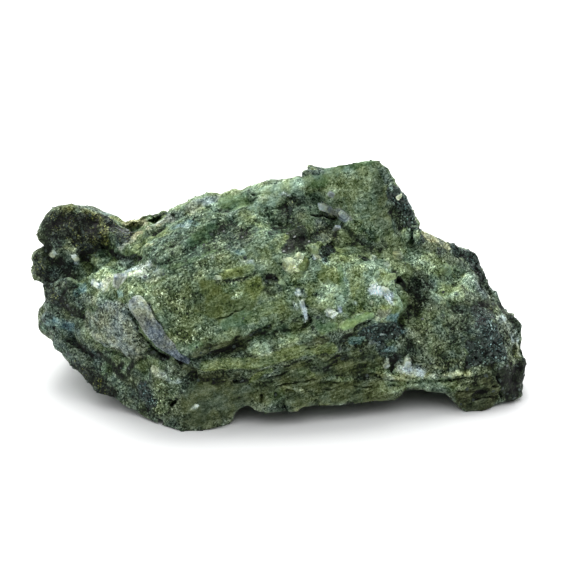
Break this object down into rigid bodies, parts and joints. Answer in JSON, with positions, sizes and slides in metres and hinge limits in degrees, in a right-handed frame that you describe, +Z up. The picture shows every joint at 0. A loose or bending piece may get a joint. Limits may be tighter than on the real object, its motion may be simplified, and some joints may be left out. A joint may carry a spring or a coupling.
{
  "type": "rough emerald",
  "caption": "Rough green beryl crystal mass grown together with dark mica schist, lying on its own broken faces as one piece.",
  "frame": {"origin": "bottom centre of the stone's box, on the surface that it lies on", "axes": "+X along the stone's length, to the right as the picture shows it; +Y away from the viewer; +Z up"},
  "size_m": [0.0946, 0.046, 0.0431],
  "materials": {
    "emerald_in_schist": "broken, half dull, with small glints of mica"
  },
  "bodies": {
    "root": {"rough_emerald": "emerald_in_schist"}
  },
  "joints": []
}
